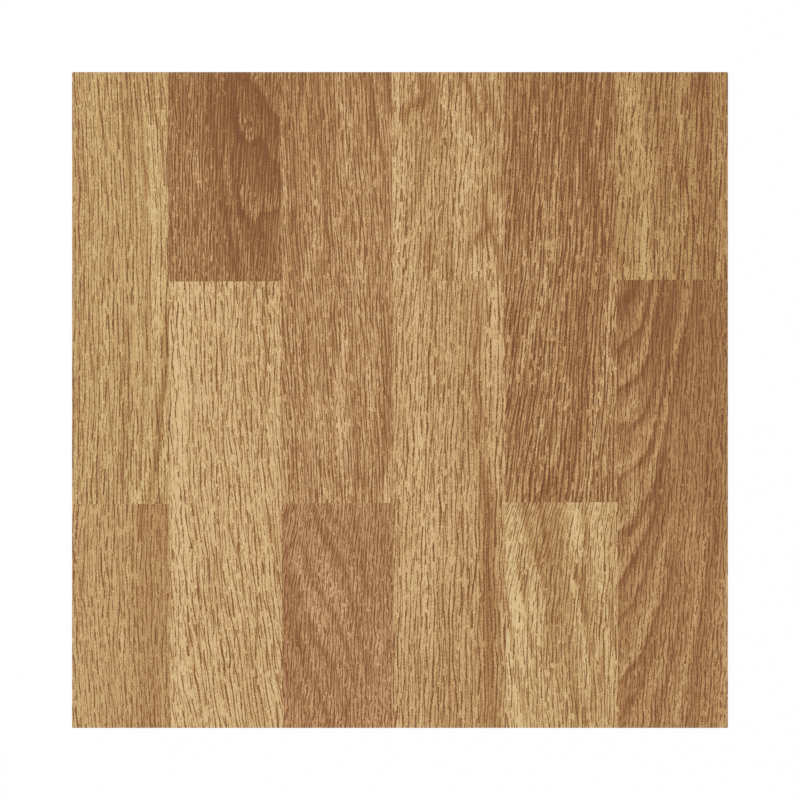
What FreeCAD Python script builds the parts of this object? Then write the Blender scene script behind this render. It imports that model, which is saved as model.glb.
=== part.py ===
import FreeCAD, Part
import os

# A square vinyl floor tile, 12 inches on a side, punched out of one calendered sheet.
#
# The real tile is one piece: a filled vinyl base, a printed film and a clear wear layer are
# pressed together hot, and nothing shows or parts between them. So the model is one solid.
# The origin is the middle of the back face, which lies on the floor. +Z points out of the
# wear face, and the printed wood strips run along +Y.

# Driving dimensions, in millimetres
side_length = 304.8  # each edge of the square, 12 inches
thickness = 1.2  # base, film and wear layer together
corner_radius = 0.5  # the punch's corners, seen from above
arris_radius = 0.2  # top edge, rolled over where the punch enters the wear face

cubic_mm_per_cm3 = 1000


def blank():
    """A square of sheet, centred on Z with its back at height 0 and sharp edges all round."""
    lowest_corner = FreeCAD.Vector(-side_length / 2, -side_length / 2, 0)
    return Part.makeBox(side_length, side_length, thickness, lowest_corner)


def upright_edges(slab):
    """The edges that run from the back to the wear face, one at each corner."""
    return [edge for edge in slab.Edges if edge.BoundBox.ZLength > thickness / 2]


def wear_face_edges(slab):
    """The edges round the wear face, which lie wholly above the middle of the slab."""
    return [edge for edge in slab.Edges if edge.BoundBox.ZMin > thickness / 2]


def tile():
    """The blank with its corners rounded by the punch and its top edge rolled all round."""
    punched = blank()
    punched = punched.makeFillet(corner_radius, upright_edges(punched))
    return punched.makeFillet(arris_radius, wear_face_edges(punched))


os.makedirs("parts", exist_ok=True)
solid = tile()
solid.exportStep("parts/tile.step")

box = solid.optimalBoundingBox()
volume = solid.Volume / cubic_mm_per_cm3
print(f"tile {box.XLength:.2f} x {box.YLength:.2f} x {box.ZLength:.2f} mm, {volume:.2f} cm3")
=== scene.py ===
import math

import bpy
import numpy as np
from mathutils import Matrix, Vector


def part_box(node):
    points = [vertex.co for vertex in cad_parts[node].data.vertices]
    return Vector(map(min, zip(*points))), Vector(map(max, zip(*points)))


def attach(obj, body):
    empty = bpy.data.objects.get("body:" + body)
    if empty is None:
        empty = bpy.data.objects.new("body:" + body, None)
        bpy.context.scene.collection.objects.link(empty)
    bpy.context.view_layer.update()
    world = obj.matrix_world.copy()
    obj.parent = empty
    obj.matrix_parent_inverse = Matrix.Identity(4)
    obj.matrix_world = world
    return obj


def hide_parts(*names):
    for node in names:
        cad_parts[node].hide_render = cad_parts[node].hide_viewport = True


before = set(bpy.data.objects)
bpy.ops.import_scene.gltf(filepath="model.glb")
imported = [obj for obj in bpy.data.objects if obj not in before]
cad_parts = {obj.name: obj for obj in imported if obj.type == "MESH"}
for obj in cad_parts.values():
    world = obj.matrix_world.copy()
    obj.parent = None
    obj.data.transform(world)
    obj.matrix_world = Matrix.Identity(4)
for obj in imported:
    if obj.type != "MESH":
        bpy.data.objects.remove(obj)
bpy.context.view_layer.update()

# The tile
# One slab of filled vinyl, printed film and clear wear layer, pressed together hot between rollers
# and punched out square. The punch rounds the corners and drags the top edge over all the way
# round, and an engraved roller leaves shallow grain marks in the wear face. The back is flat.

mm = 0.001
low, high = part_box("tile")
side = (high.x - low.x) / mm
thickness = (high.z - low.z) / mm
half = side / 2
corner_radius = 0.5  # mm, seen from above
arris_radius = 0.2  # mm, of the rolled top edge
corner_centre = half - corner_radius  # mm from the middle, both ways
top_reach = half - arris_radius  # mm from the middle to where the edge starts to roll over

# The print isn't laid quite square to the punch, so its lines lean a little to the left going up.
print_turn = math.tan(math.radians(0.22))
strip_width = 52.0  # mm, two inches
last_width = 51.6  # mm, of the strip at the right, which the punch cuts a little narrower
strip_lines = half - last_width - strip_width * np.arange(4, -1, -1)  # mm, at the tile's mid height
joint_lines = np.array([-47.8, 55.4])  # mm, at its mid width: the lower and the upper row's end joints

column_pitch = 0.92  # mm, across the grain
row_pitch = 1.2  # mm, along the grain
corner_steps = np.array([0.0, 0.1, 0.2, 0.3])  # mm in from the rim, so that the corners come out round


def grid_lines(print_lines, pitch):
    """Grid lines from rim to rim, about a pitch apart, that run through the print's own lines.

    Returns where each one crosses the middle, and how far it is turned with the print: not at
    all at the rims, fully between the first and last print line, and evenly more between those.
    """
    places = np.concatenate([corner_steps - top_reach, print_lines, top_reach - corner_steps[::-1]])
    turned = np.concatenate([0 * corner_steps, 1 + 0 * print_lines, 0 * corner_steps])
    counts = np.maximum(1, np.round(np.diff(places) / pitch)).astype(int)
    knots = np.concatenate([[0], np.cumsum(counts)])
    steps = np.arange(knots[-1] + 1)
    return np.interp(steps, knots, places), np.interp(steps, knots, turned)


def crossings(columns, rows):
    """Where leaning columns and rows cross.

    A column lies at x = a - turn y and a row at y = b + turn x, so x is (a - turn b) over one
    plus the product of both turns, and y follows from x.
    """
    (a, column_turn), (b, row_turn) = columns, rows
    column_turn, row_turn = print_turn * column_turn, print_turn * row_turn[:, None]
    x = (a - column_turn * b[:, None]) / (1 + column_turn * row_turn)
    return x, b[:, None] + row_turn * x


def rounded(x, y):
    """A square grid with its corners drawn in to quarter discs.

    With p and q the distances past the corner's centre, p shrinks by the root of one minus half
    the square of q over the radius, and q likewise.
    """
    radius = top_reach - corner_centre
    p = np.maximum(np.abs(x) - corner_centre, 0)
    q = np.maximum(np.abs(y) - corner_centre, 0)
    p_less = p * (1 - np.sqrt(1 - (q / radius) ** 2 / 2))
    q_less = q * (1 - np.sqrt(1 - (p / radius) ** 2 / 2))
    return x - np.sign(x) * p_less, y - np.sign(y) * q_less


def rough_field(x, y, seed):
    """Random heights from 0 to 1 at whole numbers of x and y, joined by smooth steps between them."""
    size = 512
    heights = np.random.default_rng(seed).random((size, size))
    column, row = np.floor(x).astype(int), np.floor(y).astype(int)
    across, along = x - column, y - row
    across, along = across**2 * (3 - 2 * across), along**2 * (3 - 2 * along)
    next_column, next_row = (column + 1) % size, (row + 1) % size
    column, row = column % size, row % size
    lower = heights[column, row] * (1 - across) + heights[next_column, row] * across
    upper = heights[column, next_row] * (1 - across) + heights[next_column, next_row] * across
    return lower * (1 - along) + upper * along


mark_depth, mark_width, mark_length = 0.035, 1.8, 12.0  # mm, of the roller's grain marks
mark_share = 0.4  # heights of the field below this are pressed in
mark_slope = 0.25  # of the field's height, from the wear face down to a mark's floor
plain_rim = 2  # mm, over which the marks run out towards the rim


def pressed_in(x, y):
    """Depth of the roller's marks: where a field drawn out along the grain is low, a smooth step down."""
    field = rough_field(x / mark_width, y / mark_length, 11)
    level = np.clip((mark_share - field) / mark_slope, 0, 1)
    from_rim = np.clip((top_reach - np.maximum(np.abs(x), np.abs(y))) / plain_rim, 0, 1)
    return mark_depth * from_rim * level**2 * (3 - 2 * level)


top_x, top_y = rounded(*crossings(grid_lines(strip_lines, column_pitch), grid_lines(joint_lines, row_pitch)))
top = np.stack([top_x, top_y, thickness - pressed_in(top_x, top_y)], -1).reshape(-1, 3)
index = np.arange(len(top)).reshape(top_x.shape)
top_faces = np.stack([index[:-1, :-1], index[:-1, 1:], index[1:, 1:], index[1:, :-1]], -1).reshape(-1, 4)

# The rim runs round the top counterclockwise. The roll and the cut edge are its profile, carried along it.
rim = np.concatenate([index[0, :-1], index[:-1, -1], index[-1, :0:-1], index[:0:-1, 0]])
rim_centres = np.clip(top[rim, :2], -corner_centre, corner_centre)
outward = top[rim, :2] - rim_centres
outward /= np.linalg.norm(outward, axis=1, keepdims=True)
roll_angles = np.radians([30, 60, 90])
profile_out = [*(corner_radius - arris_radius * (1 - np.sin(roll_angles))), corner_radius]
profile_up = [*(thickness - arris_radius * (1 - np.cos(roll_angles))), 0.0]
rings = [
    np.column_stack([rim_centres + outward * out, np.full(len(rim), up)])
    for out, up in zip(profile_out, profile_up)
]
back_middle = np.zeros((1, 3))
vertices = np.concatenate([top, *rings, back_middle])
ring_count = len(rings)
loops = [rim, *(len(top) + np.arange(ring_count * len(rim)).reshape(ring_count, -1))]
bands_round = [
    np.stack([upper, lower, np.roll(lower, -1), np.roll(upper, -1)], -1)
    for upper, lower in zip(loops, loops[1:])
]
roll_faces, cut_faces = np.concatenate(bands_round[:-1]), bands_round[-1]
printed_faces = np.concatenate([top_faces, roll_faces])
back_faces = np.stack([np.roll(loops[-1], -1), loops[-1], np.full(len(rim), len(vertices) - 1)], -1)

mesh = bpy.data.meshes.new("oak_strip_tile")
faces = [*printed_faces.tolist(), *cut_faces.tolist(), *back_faces.tolist()]
mesh.from_pydata((vertices * mm).tolist(), [], faces)
material_of = np.repeat([0, 1, 2], [len(printed_faces), len(cut_faces), len(back_faces)])
mesh.polygons.foreach_set("material_index", material_of)
mesh.shade_smooth()
mesh.set_sharp_from_angle(angle=math.radians(50))
tile = bpy.data.objects.new("oak_strip_tile", mesh)
bpy.context.scene.collection.objects.link(tile)

# The printed oak
# Ink on film: six columns of oak strips laid brick fashion, twelve lengths cut from different boards.
# Each has a pale ground, brown growth rings and dark pores along its grain, and no groove between
# it and the next. Places on the print are in pixels of the photograph, x to the right and y down.

picture_size = 800  # pixels, both ways
photo_middle = picture_size / 2
tile_across, tile_down = 656, 652.7  # pixels
pixel_across, pixel_down = side / tile_across, side / tile_down  # mm
strip_edges_px = (72, 169, 281, 393, 505, 617, 728)
joint_px = {"far": 281.5, "near": 502.5}  # the joint near the top of the photograph, and the lower one
photo_top, photo_bottom = 74, 726

# Each length of oak: strip, row, how pale its ground is, how yellow, how wide its pores are, their
# pitch across and along the grain against the usual, and the degrees its grain leans to the right at
# its top left, top right, bottom left and bottom right. Then its rings and streaks: how much paler or
# darker, half width, and the x and y of the points that the middle line runs through.
oak = [
    (0, "top", 0.8, 1.0, 1.0, 0.85, 1.25, (-2, -3, 0.5, -0.5), [
        (-0.16, 3.5, 126, 74, 127, 105, 129, 150, 130, 200),
        (-0.10, 3, 141, 75, 138, 100, 143, 130, 146, 160, 144, 200, 147, 240, 149, 280),
        (0.11, 8, 156, 130, 153, 160, 154, 200, 157, 240, 158, 290),
        (-0.12, 2, 153, 105, 157, 120, 163, 150, 168, 170),
        (0.10, 5, 157, 290, 155, 330, 155, 360, 150, 390, 147, 430, 142, 470, 138, 500),
        (-0.22, 3.5, 168, 320, 166, 385, 160, 410, 159, 440, 155, 470, 150, 500),
        (0.10, 4, 166, 410, 163, 480),
        (-0.12, 2.5, 148, 300, 149, 340, 146, 380, 144, 420, 140, 450),
        (-0.14, 3, 127, 330, 125, 360, 128, 385, 126, 420, 124, 450, 122, 480),
        (0.07, 3, 137, 290, 137, 400, 133, 500),
        (0.07, 3, 106, 300, 104, 350, 103, 400, 102, 440),
        (-0.06, 4, 76, 74, 76, 430),
    ]),
    (0, "bottom", 0.77, 0.3, 0.95, 0.9, 0.8, (3, 1, -5, -1.5), [
        (-0.10, 16, 150, 505, 152, 726),
        (-0.10, 6, 165, 505, 165, 540),
        (-0.15, 4, 142, 505, 142, 530),
        (0.05, 8, 94, 505, 94, 726),
        (0.08, 8, 80, 630, 79, 726),
        (-0.10, 2, 84, 560, 82, 600, 77, 640),
        (-0.12, 2, 91, 650, 91, 680),
        (-0.12, 3, 131, 540, 133, 560),
        (0.08, 3, 128, 570, 128, 600, 122, 640, 121, 665),
    ]),
    (1, "top", 0.73, -0.4, 1.75, 0.64, 0.65, (1, 1, -0.5, 5), [
        (-0.05, 60, 240, 76, 240, 84),
        (-0.20, 3, 209, 80, 211, 114, 214, 147, 219, 165),
        (-0.16, 2.5, 232, 82, 236, 115, 239, 135),
        (-0.26, 2.5, 231, 162, 234, 179, 237, 195, 242, 212),
        (-0.20, 3, 221, 185, 222, 202, 226, 222, 229, 239, 232, 255, 236, 272, 240, 282),
        (-0.10, 5, 181, 95, 181, 106),
        (-0.08, 5, 187, 212, 187, 226),
        (0.16, 2.5, 197, 139, 198, 179, 204, 192, 205, 209, 207, 222, 211, 244, 212, 255),
        (0.18, 3, 227, 150, 228, 172, 230, 189, 236, 217, 241, 235, 247, 255, 249, 275),
        (0.10, 5, 243, 128, 251, 137),
        (0.12, 3, 267, 150, 271, 158),
        (0.14, 6, 247, 193, 253, 213),
        (0.16, 6, 262, 203, 276, 199),
        (0.12, 4, 278, 232, 278, 252),
        (0.05, 15, 184, 215, 184, 280),
    ]),
    (1, "bottom", 0.91, 0.2, 1.0, 1.0, 0.85, (0, 2, -5, -8), [
        (0.12, 8, 178, 285, 180, 400, 178, 480, 182, 560, 184, 600, 176, 700),
        (0.10, 3, 198, 285, 198, 310),
        (-0.08, 7, 248, 290, 248, 420),
        (-0.17, 2.5, 267, 285, 266, 345),
        (-0.10, 3, 265, 360, 264, 400),
        (-0.12, 2.5, 262, 430, 262, 450),
        (-0.10, 3, 224, 340, 224, 360),
        (-0.08, 8, 216, 560, 216, 600),
        (-0.08, 4, 188, 605, 192, 640),
        (-0.16, 3, 266, 515, 272, 535),
        (-0.12, 3, 278, 540, 278, 580),
        (-0.09, 12, 250, 650, 258, 720),
        (0.08, 2, 250, 600, 258, 640, 262, 690),
    ]),
    (2, "top", 0.795, -0.5, 1.4, 0.72, 0.85, (-2, -2, -4, -2), [
        (-0.04, 60, 325, 76, 325, 84),
        (0.06, 60, 335, 480, 335, 500),
        (-0.10, 9, 286, 78, 288, 100),
        (-0.18, 4, 289, 126, 290, 138, 292, 149, 293, 162, 291, 184),
        (-0.18, 3, 302, 76, 302, 92),
        (-0.15, 3, 317, 76, 319, 102),
        (-0.18, 2.5, 330, 78, 331, 94, 333, 130),
        (-0.10, 9, 311, 112, 311, 135),
        (-0.16, 3, 324, 150, 325, 192, 324, 229, 332, 245),
        (-0.16, 6, 293, 222, 298, 242, 296, 262),
        (-0.12, 4, 324, 262, 324, 276),
        (-0.26, 3.5, 365, 80, 371, 95, 372, 112, 376, 130),
        (-0.32, 4.5, 385, 76, 389, 92),
        (-0.18, 2.5, 380, 148, 384, 162, 384, 192, 386, 224),
        (-0.14, 2.2, 348, 78, 348, 96),
        (-0.12, 2.2, 346, 203, 347, 224),
        (-0.12, 2.5, 359, 140, 359, 156),
        (-0.12, 2.5, 371, 240, 371, 252),
        (0.16, 4, 343, 82, 338, 102, 347, 122, 348, 142, 341, 150, 346, 164),
        (0.16, 4, 361, 182, 361, 192),
        (0.14, 4, 349, 180, 351, 202, 343, 215, 336, 228),
        (0.14, 4, 315, 190, 315, 200),
        (0.12, 5, 314, 236, 308, 264),
        (0.14, 3, 288, 198, 288, 210),
        (0.12, 3.5, 381, 128, 379, 140),
        (0.14, 3, 363, 264, 363, 276),
        (0.18, 4, 343, 330, 346, 342, 337, 378, 342, 396, 339, 420, 342, 458),
        (0.15, 2.5, 369, 333, 370, 355, 371, 375, 371, 406),
        (0.13, 2.5, 316, 396, 318, 425),
        (0.10, 5, 357, 286, 357, 308),
        (0.22, 4, 387, 486, 387, 498),
        (-0.16, 2.5, 352, 338, 352, 356),
        (-0.19, 2.5, 354, 402, 356, 442, 356, 474, 354, 500),
        (-0.17, 2.5, 366, 400, 366, 412),
        (-0.18, 3, 365, 468, 366, 486, 372, 495),
        (-0.16, 2.5, 376, 434, 376, 446),
        (-0.22, 3.5, 389, 322, 387, 357, 387, 399, 386, 432, 385, 452),
        (-0.14, 3, 383, 468, 379, 490),
        (-0.14, 2.5, 334, 310, 335, 350),
        (-0.10, 5, 305, 335, 305, 350),
        (-0.12, 3, 294, 440, 293, 486),
        (-0.12, 3.5, 306, 452, 305, 486),
        (-0.14, 2.5, 332, 455, 332, 474),
    ]),
    (2, "bottom", 0.77, -1.9, 1.33, 0.63, 0.38, (13, 2, 1, 0), [
        (-0.17, 3, 293, 505, 283, 515),
        (-0.20, 2.8, 310, 505, 317, 519, 321, 532, 326, 542, 331, 547, 338, 554, 344, 569, 348, 580,
         350, 595, 353, 605, 356, 624, 360, 637, 364, 657, 368, 669),
        (-0.12, 4, 328, 542, 338, 554),
        (-0.17, 3.2, 325, 505, 331, 517, 343, 527, 349, 540, 353, 547),
        (-0.17, 2.5, 351, 504, 355, 522, 358, 539, 363, 557, 364, 577, 368, 592),
        (-0.21, 2.6, 283, 554, 291, 544, 297, 542, 303, 549, 307, 559, 309, 572, 314, 585, 322, 594,
         326, 602, 333, 612, 338, 625, 343, 639, 348, 654, 353, 667, 355, 677),
        (-0.19, 8, 286, 579, 291, 582),
        (-0.17, 2.8, 298, 592, 303, 602, 307, 615, 309, 630, 314, 640, 322, 647, 328, 657, 333, 665),
        (-0.10, 4.5, 313, 636, 319, 643),
        (-0.09, 4.5, 328, 659, 332, 665),
        (-0.17, 3, 334, 676, 339, 692, 344, 709, 349, 724),
        (-0.17, 7, 288, 621, 292, 623),
        (-0.21, 3.2, 298, 634, 302, 645, 304, 662, 311, 677, 317, 689, 323, 704, 330, 722),
        (-0.17, 6, 289, 676, 293, 678),
        (-0.14, 2.6, 299, 687, 303, 699, 308, 710, 309, 724),
        (-0.09, 4, 289, 715),
        (-0.09, 15, 384, 510, 384, 560),
        (-0.10, 2.2, 361, 600, 363, 619),
        (-0.10, 2.2, 369, 652, 373, 669),
        (0.10, 5, 298, 555, 299, 566),
        (0.11, 7, 315, 605, 318, 620),
        (0.11, 6, 326, 568, 332, 588),
        (0.09, 5, 343, 600, 345, 615),
        (0.10, 5, 378, 638, 381, 655),
        (0.10, 4, 283, 700, 283, 712),
    ]),
    (3, "top", 0.85, 0.15, 1.13, 0.88, 0.8, (2.5, 2, 2, 0.5), [
        (0.14, 6, 396, 76, 397, 280),
        (-0.04, 50, 449, 76, 449, 84),
        (-0.22, 5, 421, 78, 426, 95, 420, 104, 411, 109, 405, 116),
        (-0.12, 5, 427, 88, 426, 103),
        (-0.16, 4, 435, 92, 434, 127, 437, 141),
        (-0.10, 6, 421, 142, 423, 159, 418, 180),
        (0.14, 4, 445, 80, 441, 100, 448, 114),
        (0.12, 3, 455, 116, 456, 130, 463, 142),
        (0.12, 6, 463, 150, 463, 180),
        (0.12, 4, 473, 149, 473, 172),
        (0.15, 3, 460, 199, 459, 232),
        (-0.28, 3, 460, 76, 468, 87, 473, 99, 476, 109, 481, 115),
        (-0.19, 2.5, 486, 86, 484, 101),
        (-0.26, 3.5, 486, 110, 491, 109, 495, 117, 498, 125),
        (-0.20, 4, 503, 75, 504, 80),
        (-0.22, 4, 503, 163, 503, 188),
        (-0.14, 2.2, 489, 134, 486, 150),
        (-0.24, 3.8, 483, 206, 487, 218, 488, 227, 481, 234, 475, 242, 471, 246),
        (-0.26, 3.5, 489, 229, 495, 240, 498, 252, 501, 270),
        (-0.16, 4, 431, 244, 430, 264),
        (-0.12, 7, 449, 255, 448, 274),
        (0.13, 3, 456, 246, 456, 274),
        (0.14, 4, 475, 254, 475, 276),
        (0.12, 3, 485, 262, 485, 274),
        (0.12, 3, 493, 258, 493, 274),
        (0.10, 4, 412, 262, 412, 280),
        (0.10, 4, 501, 214, 501, 228),
    ]),
    (3, "bottom", 0.85, 0.0, 1.05, 0.95, 0.95, (4, 1, 1, 0), [
        (-0.12, 6, 476, 300, 479, 330, 476, 350, 479, 370, 479, 400, 480, 415),
        (-0.12, 2.2, 479, 316, 479, 346),
        (-0.12, 2.2, 464, 296, 466, 322),
        (-0.11, 7, 482, 440, 484, 480, 486, 500),
        (-0.14, 2.5, 483, 462, 484, 492),
        (-0.12, 8, 487, 510, 488, 560, 490, 590, 490, 620, 487, 650, 489, 680, 490, 720),
        (-0.13, 2.2, 487, 556, 488, 620, 487, 684),
        (-0.07, 12, 467, 282, 467, 450),
        (-0.12, 10, 492, 500, 492, 726),
        (-0.08, 40, 448, 690, 448, 726),
        (0.10, 4, 415, 290, 415, 330),
        (0.12, 3, 419, 380, 419, 400),
        (0.15, 5, 420, 430, 420, 470),
        (0.12, 8, 425, 520, 422, 600, 430, 630),
        (0.10, 3, 404, 560, 404, 620),
        (-0.12, 3, 439, 360, 439, 390),
        (-0.10, 3, 421, 288, 421, 302),
        (-0.10, 2, 434, 285, 433, 365),
        (0.10, 5, 495, 290, 495, 340),
    ]),
    (4, "top", 0.685, -0.2, 1.6, 0.8, 0.95, (1, 3, 7, 2), [
        (-0.05, 60, 565, 76, 565, 84),
        (0.04, 60, 550, 350, 550, 480),
        (-0.16, 4.5, 579, 80, 579, 94, 575, 122, 575, 139, 573, 156),
        (-0.22, 3, 596, 76, 595, 90, 591, 122, 589, 135, 585, 159, 583, 190),
        (-0.20, 3, 608, 80, 608, 92),
        (-0.18, 2.5, 607, 108, 601, 146),
        (-0.20, 3, 595, 167, 593, 190),
        (-0.14, 3, 597, 204, 595, 228),
        (-0.14, 2.5, 541, 104, 541, 114),
        (-0.14, 2.5, 555, 134, 555, 146),
        (-0.10, 5, 525, 160, 527, 184),
        (-0.14, 3, 613, 240, 613, 252),
        (-0.12, 3, 517, 208, 516, 222),
        (0.14, 2.5, 536, 114, 536, 148),
        (0.14, 3.5, 557, 154, 557, 175, 555, 199, 557, 224),
        (0.12, 2.5, 566, 138, 568, 150),
        (0.14, 3, 600, 117, 596, 146),
        (0.12, 2.2, 578, 170, 577, 204),
        (0.18, 2.5, 541, 198, 547, 212, 546, 242, 546, 281),
        (0.16, 3.5, 554, 244, 554, 256),
        (0.15, 3, 540, 243, 535, 274),
        (0.14, 4, 525, 262, 525, 276),
        (0.18, 3, 614, 118, 614, 164),
        (0.20, 4, 614, 262, 614, 278),
        (0.16, 5, 546, 285, 541, 307, 535, 320, 528, 337, 523, 360),
        (0.13, 2.5, 556, 293, 554, 315, 552, 334),
        (0.13, 3, 546, 358, 545, 372),
        (0.12, 2.5, 555, 355, 553, 377),
        (0.13, 2.5, 544, 413, 540, 435, 536, 450),
        (0.14, 2.5, 566, 388, 565, 409, 560, 432, 555, 449, 548, 466),
        (0.18, 4, 608, 305, 605, 365, 596, 409, 594, 440, 591, 470, 587, 485),
        (0.14, 5, 611, 365, 610, 410),
        (0.20, 4, 613, 306, 613, 318),
        (0.22, 3.5, 607, 443, 607, 460),
        (-0.20, 5, 586, 297, 587, 303),
        (-0.16, 3, 583, 322, 583, 335),
        (-0.14, 3, 570, 342, 573, 376),
        (-0.14, 7, 583, 348, 586, 372, 580, 405, 578, 430),
        (-0.14, 5, 571, 437, 565, 462, 558, 497),
        (-0.16, 3, 553, 430, 553, 442),
        (-0.18, 3, 528, 364, 525, 388),
        (-0.14, 2.5, 518, 338, 516, 358),
        (-0.16, 2.5, 541, 314, 536, 346),
        (-0.16, 3.2, 528, 412, 528, 424),
        (-0.13, 3, 513, 310, 513, 320),
        (-0.13, 3, 513, 392, 513, 402),
        (-0.13, 2.5, 545, 388, 538, 414),
        (-0.13, 3, 546, 484, 546, 496),
    ]),
    (4, "bottom", 0.85, 0.6, 1.05, 0.78, 0.78, (20, 6, -3, 0), [
        (0.05, 30, 520, 530, 520, 690),
        (0.17, 5, 512, 552, 512, 572, 516, 592, 519, 608),
        (0.06, 5, 511, 590, 511, 640),
        (0.15, 3.5, 520, 605, 523, 625, 527, 645, 530, 660),
        (0.09, 4, 513, 615, 518, 640, 522, 665),
        (0.18, 3.5, 507, 635, 510, 669, 513, 685, 517, 705, 518, 722),
        (-0.20, 1.8, 513, 548, 520, 569, 522, 585, 526, 602, 527, 619, 531, 644, 535, 660, 536, 680),
        (-0.20, 1.8, 507, 600, 510, 625, 514, 652, 518, 677, 522, 694, 525, 715),
        (0.15, 2, 531, 580, 532, 602, 535, 619, 532, 636),
        (0.13, 2, 539, 572, 538, 595, 545, 605, 541, 627, 538, 646),
        (-0.22, 4, 526, 505, 527, 527, 533, 543, 539, 562, 543, 577),
        (-0.18, 4, 541, 505, 543, 525, 547, 540, 550, 560),
        (-0.13, 5, 556, 505, 560, 535, 560, 560),
        (-0.11, 13, 540, 510, 548, 545, 555, 580, 560, 610),
        (-0.14, 5, 547, 610, 553, 635, 548, 647),
        (-0.17, 3, 568, 585, 569, 603),
        (-0.18, 4, 570, 645, 572, 680, 577, 702),
        (-0.13, 2, 557, 649, 558, 682),
        (-0.20, 2.2, 577, 706, 577, 724),
        (-0.17, 2.2, 586, 710, 586, 724),
        (-0.15, 2.2, 538, 698, 539, 712),
        (-0.24, 3, 575, 572, 581, 585, 585, 612),
        (-0.17, 2.5, 586, 612, 588, 627, 590, 647, 592, 677, 593, 697),
        (0.14, 2.5, 572, 582, 578, 602, 583, 627, 585, 652, 588, 672),
        (0.09, 4, 588, 668, 588, 676),
        (-0.11, 8, 588, 580, 593, 600),
        (0.17, 5, 577, 505, 577, 545),
        (-0.22, 2.8, 582, 505, 586, 522, 586, 542),
        (0.13, 7, 595, 508, 598, 544, 600, 574),
        (0.13, 2.5, 603, 592, 607, 609),
        (0.09, 3, 610, 644, 612, 660),
        (-0.22, 2.5, 608, 598, 612, 619, 616, 635),
        (-0.11, 3, 602, 660, 602, 672),
        (-0.11, 3, 596, 700, 596, 710),
    ]),
    (5, "top", 0.64, 1.0, 1.1, 0.96, 1.1, (4, 1, 4, 1), [
        (0.11, 18, 632, 74, 640, 280),
        (0.07, 4, 624, 85, 623, 148),
        (0.07, 5, 638, 127, 640, 157),
        (0.07, 4, 648, 155, 650, 178),
        (0.10, 5, 647, 218, 642, 247, 648, 276),
        (0.11, 4, 663, 237, 664, 276),
        (0.08, 3.5, 627, 243, 626, 276),
        (0.11, 3.5, 680, 118, 679, 142),
        (0.11, 3, 673, 172, 671, 202, 670, 224),
        (-0.16, 2.5, 646, 115, 645, 143),
        (-0.11, 2.2, 643, 83, 644, 101),
        (-0.16, 2.5, 658, 105, 659, 127, 657, 154),
        (-0.16, 2.5, 658, 170, 658, 193),
        (-0.16, 2.3, 667, 138, 666, 175, 665, 205, 666, 228),
        (-0.15, 2.5, 675, 100, 672, 127, 677, 145, 677, 176),
        (-0.13, 3, 684, 108, 684, 118),
        (-0.13, 3, 692, 84, 693, 96),
        (-0.16, 2.5, 693, 203, 693, 232),
        (-0.13, 3, 686, 174, 685, 186),
        (-0.13, 3, 678, 260, 678, 276),
        (-0.11, 2.5, 657, 222, 651, 248),
        (-0.11, 2.5, 637, 200, 637, 214),
        (-0.11, 2.5, 637, 248, 637, 262),
        (-0.12, 2.5, 623, 256, 622, 272),
        (-0.14, 6, 702, 76, 701, 92, 702, 127, 702, 172, 708, 209, 708, 232, 704, 258),
        (-0.10, 4, 701, 76, 701, 88),
        (-0.11, 3, 709, 78, 710, 128),
        (-0.10, 4, 712, 255, 712, 272),
        (0.04, 6, 720, 78, 720, 160),
    ]),
    (5, "bottom", 0.665, -0.2, 1.15, 0.78, 0.52, (1, 1, 4, 3), [
        (-0.10, 80, 680, 284, 680, 330),
        (0.03, 30, 640, 450, 640, 620),
        (-0.05, 30, 715, 300, 715, 400),
        (-0.30, 8, 636, 282, 631, 297, 625, 302, 617, 305),
        (0.14, 3, 646, 284, 644, 298, 640, 313, 635, 327, 631, 337),
        (0.20, 3.5, 655, 288, 653, 308, 648, 327, 646, 340, 644, 351, 638, 361, 631, 369, 623, 380),
        (0.16, 6, 636, 392, 632, 404, 625, 412, 616, 410),
        (0.12, 2.5, 664, 337, 660, 380, 657, 401, 653, 417, 650, 430),
        (0.14, 6, 645, 440, 641, 448, 634, 456, 625, 463, 617, 466),
        (0.20, 3.5, 689, 280, 687, 298, 684, 316, 679, 334, 675, 351, 672, 369, 669, 383, 666, 401,
         664, 417, 660, 431, 657, 446, 653, 461, 650, 477, 648, 491),
        (0.12, 6, 632, 480, 634, 495),
        (-0.18, 2.5, 695, 284, 693, 298, 691, 313, 686, 330, 681, 344, 678, 360, 676, 373, 675, 389,
         672, 401, 670, 413, 668, 423, 664, 436, 663, 465, 658, 480, 651, 494, 647, 504, 641, 516,
         637, 524, 629, 531, 618, 534),
        (-0.16, 5, 687, 347, 680, 365),
        (-0.12, 3, 699, 284, 699, 334),
        (-0.12, 3, 714, 325, 713, 360),
        (-0.18, 2.5, 710, 441, 708, 466, 706, 476),
        (0.18, 4, 632, 511, 625, 520, 618, 527),
        (0.12, 3, 644, 521, 636, 538, 628, 553, 621, 564),
        (0.15, 3.5, 670, 518, 665, 536, 661, 553, 658, 577, 652, 603, 647, 618, 641, 634, 633, 654, 623, 670),
        (0.12, 3, 695, 518, 691, 537, 687, 557),
        (0.18, 2.5, 708, 533, 703, 550, 703, 571, 700, 588, 696, 607, 693, 624, 691, 640, 687, 658,
         683, 674, 680, 696, 677, 714),
        (-0.14, 7, 717, 505, 715, 528, 711, 550, 708, 586, 703, 621, 698, 664, 694, 693, 692, 722),
        (-0.20, 4, 646, 668, 641, 684, 635, 693, 625, 706, 621, 722),
        (-0.18, 2.2, 682, 618, 678, 633, 674, 643, 670, 661, 667, 678, 663, 691, 658, 706, 655, 724),
        (0.10, 3, 664, 658, 657, 680, 650, 696, 646, 708),
        (0.12, 5, 726, 580, 724, 724),
    ]),
]

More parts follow.
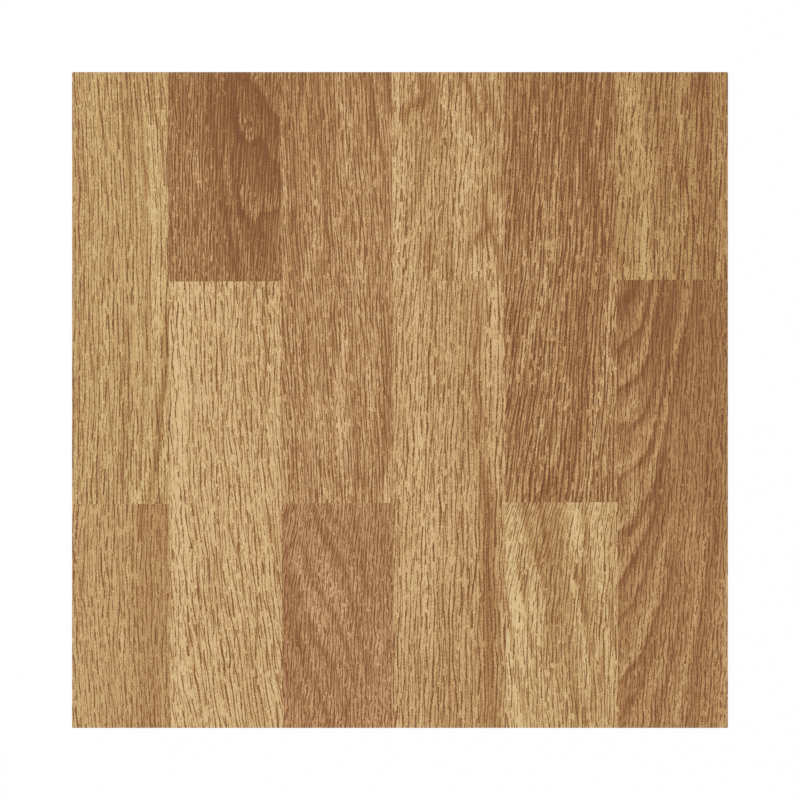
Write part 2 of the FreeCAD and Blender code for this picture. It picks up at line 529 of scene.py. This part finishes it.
# Flames: rings cut at a slant, which start abruptly at one side of a line and fade out on the other,
# such as the large ones of the dark length at the top. Strip, row, how much darker, over how many
# pixels it fades, and the line's points from right to left.
flames = [
    (1, "top", -0.42, 13, 284, 123, 276, 117, 269, 110, 264, 100, 256, 89, 247, 79, 243, 72),
    (1, "top", -0.42, 17, 282, 166, 269, 160, 264, 142, 259, 139, 252, 145, 245, 142, 240, 139, 238, 127),
    (1, "top", -0.42, 13, 282, 209, 269, 214, 260, 215, 255, 224, 249, 220, 242, 212),
    (5, "bottom", -0.40, 3.5, 652, 281, 650, 294, 648, 306, 644, 321, 641, 329, 633, 336, 625, 343,
     617, 351),
    (5, "bottom", -0.36, 4, 664, 280, 659, 298, 656, 313, 654, 327, 652, 341, 651, 352, 646, 364,
     642, 372, 637, 379, 629, 384, 621, 389, 617, 393),
    (5, "bottom", -0.34, 3.5, 667, 311, 663, 330, 661, 343, 659, 354, 657, 369, 655, 383, 651, 396,
     648, 405, 643, 415, 638, 421, 633, 425, 627, 426, 622, 424, 617, 427),
    (5, "bottom", -0.30, 3.5, 673, 288, 671, 327, 669, 343, 668, 360, 665, 377, 663, 393, 660, 406,
     657, 417, 656, 429, 654, 438, 650, 447, 644, 457, 638, 464, 631, 470, 624, 473, 618, 481),
    (5, "bottom", -0.22, 4, 660, 458, 656, 477, 651, 493, 645, 500, 640, 505, 637, 514, 630, 526,
     618, 531),
    (5, "bottom", -0.36, 5, 656, 503, 653, 516, 650, 526, 643, 540, 636, 554, 628, 568, 623, 577,
     617, 584),
    (5, "bottom", -0.26, 4, 664, 513, 660, 531, 652, 553, 648, 563, 641, 584, 633, 604, 624, 613,
     617, 620),
    (5, "bottom", -0.32, 4, 671, 567, 669, 588, 663, 598, 658, 611, 652, 628, 648, 641, 641, 654,
     633, 665, 625, 673, 618, 684),
]


def beside_line(x, y, points):
    """How far each place is from a line through the points.

    It is less than 0 to the left of a line that runs down, and above one that runs to the left.
    For each straight run it is the way to the foot of the perpendicular, stopped at the run's
    ends, and of all the runs the nearest. Places above the line's top or below its bottom count
    as a third as far off, so that its ends fade out.
    """
    inside = np.clip(y, points[:, 1].min(), points[:, 1].max())
    y = inside + (y - inside) / 3
    nearest, side_of = np.hypot(x - points[0, 0], y - points[0, 1]), np.ones_like(x)
    for (x0, y0), (x1, y1) in zip(points[:-1], points[1:]):
        run_x, run_y = x1 - x0, y1 - y0
        share = np.clip(((x - x0) * run_x + (y - y0) * run_y) / (run_x**2 + run_y**2), 0, 1)
        distance = np.hypot(x - x0 - share * run_x, y - y0 - share * run_y)
        closer = distance < nearest
        nearest = np.where(closer, distance, nearest)
        side_of = np.where(closer, np.sign(run_y * (x - x0) - run_x * (y - y0)), side_of)
    return nearest * side_of


waver_reach, waver_width, waver_length = 1.6, 9, 22  # pixels, of the rings' unsteadiness
sharp_side = 1.5  # pixels, half width of a flame at the side where it starts abruptly


def rings_at(x, y, streaks, own_flames):
    """How much paler or darker the rings make each place, by the distance from their lines.

    The lines waver by a pixel or so. A streak is its strength times a bell, e to the minus square
    of the distance over the half width. A flame is e to the minus distance over its fade on one
    side of its line, and a narrow bell on the other; where flames overlap the darkest counts.
    """
    x = x + waver_reach * (rough_field(x / waver_width, y / waver_length, 21) - 0.5)
    total, darkest = np.zeros_like(x), np.zeros_like(x)
    for strength, half_width, *places in streaks:
        beside = beside_line(x, y, np.array(places, float).reshape(-1, 2))
        total += strength * np.exp(-((beside / half_width) ** 2))
    for strength, fade, *places in own_flames:
        beside = beside_line(x, y, np.array(places, float).reshape(-1, 2))
        fading = np.exp(np.where(beside > 0, -beside / fade, -((beside / sharp_side) ** 2)))
        darkest = np.minimum(darkest, strength * fading)
    return total + darkest


def across_grain(x, y, left, right, top_y, bottom_y, lean):
    """x less the drift of the leaning fibres, so that it stays the same along each fibre.

    The drift is the lean at the bottom times the drop, plus what the top leans more times a third
    of the length times one minus the cube of the share left to drop. The lean runs evenly from
    side to side.
    """
    share, drop, fall = (x - left) / (right - left), y - top_y, bottom_y - top_y
    top_left, top_right, bottom_left, bottom_right = np.tan(np.radians(lean))
    at_top = top_left + (top_right - top_left) * share
    at_bottom = bottom_left + (bottom_right - bottom_left) * share
    return x + at_bottom * drop + (at_top - at_bottom) * fall * (1 - (1 - drop / fall) ** 3) / 3


# Each printed face belongs to the length of oak that its middle lies in, and its corners take their
# values from there, so that the joints stay sharp. The lengths lie far apart in the pores' noise.
corner_places = vertices[printed_faces]
face_x, face_y = corner_places.mean(1)[:, :2].T
strip_of = np.searchsorted(strip_lines, face_x + print_turn * face_y)
joint_of = joint_lines[(strip_of % 2 == 1).astype(int)]
in_top = face_y - print_turn * face_x > joint_of
corner_x = photo_middle + corner_places[..., 0] / pixel_across
corner_y = photo_middle - corner_places[..., 1] / pixel_down

noise_apart = 1000  # pixels, from one length's noise to the next one's
grain = np.zeros((*printed_faces.shape, 3))
figure = np.zeros((*printed_faces.shape, 3))
for number, (strip, row, paleness, yellow, pores, pitch, length, lean, streaks) in enumerate(oak):
    mine = (strip_of == strip) & (in_top == (row == "top"))
    x, y = corner_x[mine], corner_y[mine]
    left, right = strip_edges_px[strip], strip_edges_px[strip + 1]
    joint = joint_px["near" if strip % 2 == 0 else "far"]
    top_y, bottom_y = (photo_top, joint) if row == "top" else (joint, photo_bottom)
    across = across_grain(x, y, left, right, top_y, bottom_y, lean)
    grain[mine] = np.stack([noise_apart * number + across / pitch, y / length, np.full_like(x, yellow)], -1)
    own_flames = [flame[2:] for flame in flames if flame[:2] == (strip, row)]
    rings = rings_at(x, y, streaks, own_flames)
    figure[mine] = np.stack([np.full_like(x, paleness), rings, np.full_like(x, pores)], -1)


def set_corners(name, values):
    """Stores three values for each corner of the printed faces, and nothing for the other faces."""
    attribute = mesh.attributes.new(name, "FLOAT_VECTOR", "CORNER")
    rest = np.zeros(3 * len(mesh.loops) - values.size)
    attribute.data.foreach_set("vector", np.concatenate([values.ravel(), rest]))


set_corners("grain", grain)
set_corners("figure", figure)

# The bake map: the print from above with the roll folded out round it, the cut edge in a strip
# over it and the back squeezed in at its right.
map_edge, map_part = 0.005, 0.9  # shares of the map: a margin, and the print
map_reach = top_reach + arris_radius * math.pi / 2
roll_out = corner_radius - arris_radius + arris_radius * roll_angles
unrolled = np.concatenate([top[:, :2], *(rim_centres + outward * out for out in roll_out)])
print_map = map_edge + map_part * (unrolled[printed_faces] / map_reach / 2 + 0.5)
rim_share = np.linspace(0, 1, len(rim) + 1)
before, after = rim_share[:-1], rim_share[1:]
cut_u = map_edge + (1 - 2 * map_edge) * np.stack([before, before, after, after], -1)
cut_v = np.broadcast_to([0.99, 0.92, 0.92, 0.99], cut_u.shape)
back_shape = vertices[back_faces][..., :2] / side + 0.5
back_map = np.array([0.92, map_edge]) + np.array([0.075, map_part]) * back_shape
bake_map = mesh.uv_layers.new(name="OFBake")
corners = [print_map.reshape(-1, 2), np.stack([cut_u, cut_v], -1).reshape(-1, 2), back_map.reshape(-1, 2)]
bake_map.data.foreach_set("uv", np.concatenate(corners).ravel())

# The wear face
# Seven tones of ink from dark brown to cream, seen through clear vinyl with a satin, finely textured
# skin. The pores are dark strokes along the grain, closer together where the wood is darker.


class Wire:
    """A node tree and one output socket in it. Sums and products of wires add Math nodes."""

    def __init__(self, tree, socket=None):
        self.tree, self.socket = tree, socket

    def node(self, kind, settings, sockets, output=0):
        """Adds a node: first its settings, or a ramp's stops, then its sockets' values or links."""
        made = self.tree.nodes.new(kind)
        for name, value in settings.items():
            if name == "stops":
                elements = made.color_ramp.elements
                elements.remove(elements[1])
                elements[0].position, elements[0].color = value[0]
                for place, colour in value[1:]:
                    elements.new(place).color = colour
            else:
                setattr(made, name, value)
        for name, value in sockets.items():
            if isinstance(value, Wire):
                self.tree.links.new(value.socket, made.inputs[name])
            else:
                made.inputs[name].default_value = value
        return Wire(self.tree, made.outputs[output] if made.outputs else None)

    def math(self, operation, *terms):
        return self.node("ShaderNodeMath", {"operation": operation}, dict(enumerate(terms)))

    def vector(self, operation, *terms):
        return self.node("ShaderNodeVectorMath", {"operation": operation}, dict(enumerate(terms)))

    def __add__(self, other):
        return self.math("ADD", self, other)

    def __sub__(self, other):
        return self.math("SUBTRACT", self, other)

    def __mul__(self, other):
        return self.math("MULTIPLY", self, other)

    def __rsub__(self, other):
        return self.math("SUBTRACT", other, self)

    __radd__ = __add__

    def part(self, axis):
        return self.node("ShaderNodeSeparateXYZ", {}, {"Vector": self}, axis)


def new_material(name, piece):
    """An empty node material on the piece's next slot, as a wire to build on."""
    material = bpy.data.materials.new(name)
    material.use_nodes = True
    material.node_tree.nodes.clear()
    piece.data.materials.append(material)
    return Wire(material.node_tree)


def finish_material(base, **sockets):
    """Ends a material in a Principled shader with these sockets."""
    sockets = {name.replace("_", " "): value for name, value in sockets.items()}
    shader = base.node("ShaderNodeBsdfPrincipled", {}, sockets)
    base.node("ShaderNodeOutputMaterial", {}, {"Surface": shader})


def speckle(place, scale, detail):
    """Noise from 0 to 1, the same in all directions, with scale spots to a metre."""
    return place.node("ShaderNodeTexNoise", {}, {"Vector": place, "Scale": scale, "Detail": detail}, "Fac")


def bumpy(height, strength, reach):
    """The surface's normal, bent as if this height reached so many metres."""
    wanted = {"Height": height, "Strength": strength, "Distance": reach}
    return height.node("ShaderNodeBump", {}, wanted, "Normal")


def colour(red, green, blue):
    """A colour from its values on the screen, 0 to 255, as the linear light that a shader wants."""
    screen = np.array([red, green, blue]) / 255
    linear = np.where(screen > 0.04045, ((screen + 0.055) / 1.055) ** 2.4, screen / 12.92)
    return (*linear.tolist(), 1.0)


inks = [
    (0.0, colour(104, 57, 25)),
    (0.18, colour(131, 83, 44)),
    (0.36, colour(152, 107, 62)),
    (0.54, colour(172, 128, 80)),
    (0.72, colour(192, 153, 101)),
    (0.89, colour(211, 177, 127)),
    (0.98, colour(221, 189, 140)),
]

face = new_material("printed_oak_vinyl", tile)
grain_at = face.node("ShaderNodeAttribute", {"attribute_name": "grain"}, {}, "Vector")
figure_at = face.node("ShaderNodeAttribute", {"attribute_name": "figure"}, {}, "Vector")
ground, rings_seen, pore_width = (figure_at.part(axis) for axis in "XYZ")


def streaky(place, width, length, layer):
    """Noise of spread 1 about 0, in blotches of this width across and length along the grain."""
    stretched = place.vector("MULTIPLY", place, (1 / width, 1 / length, 0))
    moved = place.vector("ADD", stretched, (37 * layer, 53 * layer, 0))
    wanted = {"Vector": moved, "Scale": 1.0, "Detail": 0.0}
    noise = place.node("ShaderNodeTexNoise", {"noise_dimensions": "2D"}, wanted, "Fac")
    return (noise - 0.5) * 7.2


def step_between(value, start, end):
    """0 up to start, 1 from end on, and a smooth step between."""
    limits = {"Value": value, "From Min": start, "From Max": end}
    return value.node("ShaderNodeMapRange", {"interpolation_type": "SMOOTHSTEP"}, limits)


def pore_lines(place, spacing, breadth, presence, lengths, layer):
    """Thin dark dashes along the grain, in rows this far apart, a mask from 0 to 1.

    Each row wanders, swells and breaks off on its own, over these lengths: its noise is taken at
    its column's number, so that it is the same right across the row.
    """
    across, along = place.part("X") * (1 / spacing), place.part("Y")
    column = across.math("FLOOR", across)
    own = place.node("ShaderNodeCombineXYZ", {}, {"X": column * 7.31, "Y": along})
    wander, swell, gap = lengths
    middle = streaky(own, 1, wander, layer) * 0.13 + 0.5
    swelling = streaky(own, 1, swell, layer + 1)
    aside = across - column - middle
    aside = aside.math("ABSOLUTE", aside) * spacing
    unbroken = step_between(streaky(own, 1, gap, layer + 2) + presence, -0.35, 0.15)
    return step_between(swelling * 0.08 + breadth - aside, -0.14, 0.14) * unbroken


# The fibres waver, a little from pore to pore and by about a pixel along the strip.
jitter = streaky(grain_at, 1.6, 2.2, 1) * 0.1 + streaky(grain_at, 5, 30, 2) * 0.16
waver = jitter + streaky(grain_at, 25, 110, 3) * 0.7
wavy = face.vector("ADD", grain_at, face.node("ShaderNodeCombineXYZ", {}, {"X": waver}))

# Pores in three sizes, each in rows of its own. They are wider and there are more of them where a ring
# is dark, and they thin out where it is pale.
paler = rings_seen.math("MAXIMUM", rings_seen, 0.0)
darker = rings_seen - paler
breadth = pore_width * 0.49 - paler * 0.5 - darker * 0.35 + streaky(wavy, 13, 110, 15) * 0.04
presence = pore_width * 0.7 - paler * 4 - darker * 1.8
coarse = pore_lines(wavy, 5.4, breadth, presence, (40, 30, 14), 4)
middling = pore_lines(wavy, 3.9, breadth - 0.06, presence - 0.1, (34, 24, 11), 7)
fine = pore_lines(wavy, 2.8, breadth - 0.1, presence - 0.2, (24, 16, 8), 10)
pore_mask = 1 - (1 - coarse) * (1 - middling * 0.65) * (1 - fine * 0.42)

# The wood between the pores, the pores' own tone in it, and a fine speckle over both.
wood = ground + paler * 0.7 + darker * 1.05
wood = wood + streaky(wavy, 5, 60, 13) * 0.02 + streaky(wavy, 1.4, 16, 14) * 0.015
pore_ink = ground * 0.45 - 0.24
tone = wood - pore_mask * (wood - pore_ink) + streaky(grain_at, 1.3, 1.9, 16) * 0.055
ink = face.node("ShaderNodeValToRGB", {"stops": inks}, {"Fac": tone}, "Color")
green, blue = grain_at.part("Z") * tone * 0.06 + 1, 1 - pore_mask * 0.1
tint = face.node("ShaderNodeCombineXYZ", {}, {"X": 1.0, "Y": green, "Z": blue})
ink = face.vector("MULTIPLY", ink, tint)

skin = face.node("ShaderNodeTexCoord", {}, {}, "Object")
fine_skin = speckle(skin, 2500.0, 2.0)
bump = bumpy(fine_skin * 0.35 - pore_mask, 0.25, 0.00004)
finish_material(
    face, Base_Color=ink, Roughness=0.42 + fine_skin * 0.1 + pore_mask * 0.08, Normal=bump,
    Specular_IOR_Level=0.3,
)

# The cut edge
# Vinyl filled with ground limestone: warm grey with pale and dark specks, sheared by the punch, under
# the thin brown line of the printed film and the clear layer over it.

film_line = 0.22 * mm  # below the wear face, as deep as the film reaches
edge = new_material("cut_edge_vinyl", tile)
place = edge.node("ShaderNodeTexCoord", {}, {}, "Object")
height = place.part("Z")
specks = speckle(place, 6000.0, 2.0)
drag = speckle(edge.vector("MULTIPLY", place, (1, 1, 0.15)), 3000.0, 1.0)
filler = edge.node(
    "ShaderNodeValToRGB",
    {"stops": [(0.3, colour(128, 112, 94)), (0.5, colour(157, 142, 122)), (0.68, colour(192, 180, 162))]},
    {"Fac": specks * 0.6 + drag * 0.4}, "Color",
)
film = step_between(height, thickness * mm - film_line, thickness * mm - film_line * 0.8)
edge_colour = edge.node(
    "ShaderNodeMix", {"data_type": "RGBA"}, {"Factor": film, "A": filler, "B": colour(142, 98, 62)}, 2
)
edge_bump = bumpy(drag + specks * 0.5, 0.5, 0.00005)
finish_material(
    edge, Base_Color=edge_colour, Roughness=0.62 + specks * 0.15, Normal=edge_bump,
    Specular_IOR_Level=0.3,
)

# The back
# The same filled vinyl, plain, with the faint pebble of the lower roller and a little dust of filler.

back = new_material("plain_back_vinyl", tile)
place = back.node("ShaderNodeTexCoord", {}, {}, "Object")
pebble = speckle(place, 900.0, 3.0)
dust = speckle(place, 60.0, 4.0)
back_colour = back.node(
    "ShaderNodeValToRGB", {"stops": [(0.3, colour(139, 126, 108)), (0.7, colour(170, 157, 138))]},
    {"Fac": pebble * 0.5 + dust * 0.5}, "Color",
)
finish_material(
    back, Base_Color=back_colour, Roughness=0.7 + dust * 0.1, Normal=bumpy(pebble, 0.4, 0.0001),
    Specular_IOR_Level=0.3,
)

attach(tile, "root")
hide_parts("tile")

# The table top and the light
# A white sheet that keeps the tile's shadow and fades into the white room, soft light from all
# round, and two large lamps that give the edges and the relief a side.


def looked_at(base):
    """1 for the rays that show a picture, straight, by gloss or through glass, and 0 for all others."""
    straight, gloss, glass = (
        base.node("ShaderNodeLightPath", {}, {}, name)
        for name in ("Is Camera Ray", "Is Glossy Ray", "Is Transmission Ray")
    )
    return base.math("MAXIMUM", base.math("MAXIMUM", straight, gloss), glass)


floor_reach = 3.0  # m
floor_drop = 0.02 * mm  # below the back, so that the two don't lie in one plane
floor_mesh = bpy.data.meshes.new("white_sheet")
floor_corners = floor_reach * np.array([(-1, -1, 0), (1, -1, 0), (1, 1, 0), (-1, 1, 0)])
floor_corners[:, 2] = -floor_drop
floor_mesh.from_pydata(floor_corners.tolist(), [], [(0, 1, 2, 3)])
floor = bpy.data.objects.new("white_sheet", floor_mesh)
bpy.context.scene.collection.objects.link(floor)
sheet = new_material("white_sheet", floor)

# Where it is looked at the sheet is mostly its own white, wholly so from 0.9 m on, so that only a
# trace of the shadow stays. All other rays meet a matt sheet.
seen = looked_at(sheet)
place = sheet.node("ShaderNodeTexCoord", {}, {}, "Object")
from_middle = sheet.node("ShaderNodeVectorMath", {"operation": "LENGTH"}, {0: place}, "Value")
faded = (step_between(from_middle, 0.25, 0.9) * 0.12 + 0.88) * seen
albedo = seen * 0.2 + 0.8
paper = sheet.node("ShaderNodeCombineColor", {}, {"Red": albedo, "Green": albedo, "Blue": albedo})
matt = sheet.node("ShaderNodeBsdfDiffuse", {}, {"Color": paper})
white = sheet.node("ShaderNodeEmission", {}, {"Color": (1, 1, 1, 1), "Strength": 1.0})
mixed = sheet.node("ShaderNodeMixShader", {}, {0: faded, 1: matt, 2: white})
sheet.node("ShaderNodeOutputMaterial", {}, {"Surface": mixed})

world = bpy.data.worlds.new("white_room")
bpy.context.scene.world = world
world.use_nodes = True
world.node_tree.nodes.clear()
room = Wire(world.node_tree)
room_light = 0.72
strength = room_light + looked_at(room) * (1 - room_light)
background = room.node("ShaderNodeBackground", {}, {"Color": (1, 1, 1, 1), "Strength": strength})
room.node("ShaderNodeOutputWorld", {}, {"Surface": background})


def lamp(name, x, y, z, size, power):
    """A square soft lamp that faces the tile's middle. Its place and its sides are in metres."""
    light = bpy.data.lights.new(name, "AREA")
    light.shape, light.size, light.energy = "SQUARE", size, power
    placed = bpy.data.objects.new(name, light)
    placed.location = (x, y, z)
    placed.rotation_euler = (-placed.location).to_track_quat("-Z", "Y").to_euler()
    bpy.context.scene.collection.objects.link(placed)


lamp("window_lamp", -1.6, 1.1, 1.3, 1.2, 17.0)
lamp("fill_lamp", 1.7, -0.9, 1.2, 1.2, 9.5)

camera_data = bpy.data.cameras.new("camera")
camera_data.lens = 85
camera_data.sensor_width = 36
camera = bpy.data.objects.new("camera", camera_data)
frame_width = side * mm * picture_size / tile_across  # m, what the picture sees of the wear face
camera.location = (0, 0, thickness * mm + frame_width * camera_data.lens / camera_data.sensor_width)
bpy.context.scene.collection.objects.link(camera)
bpy.context.scene.camera = camera

bpy.context.scene.view_settings.view_transform = "Standard"
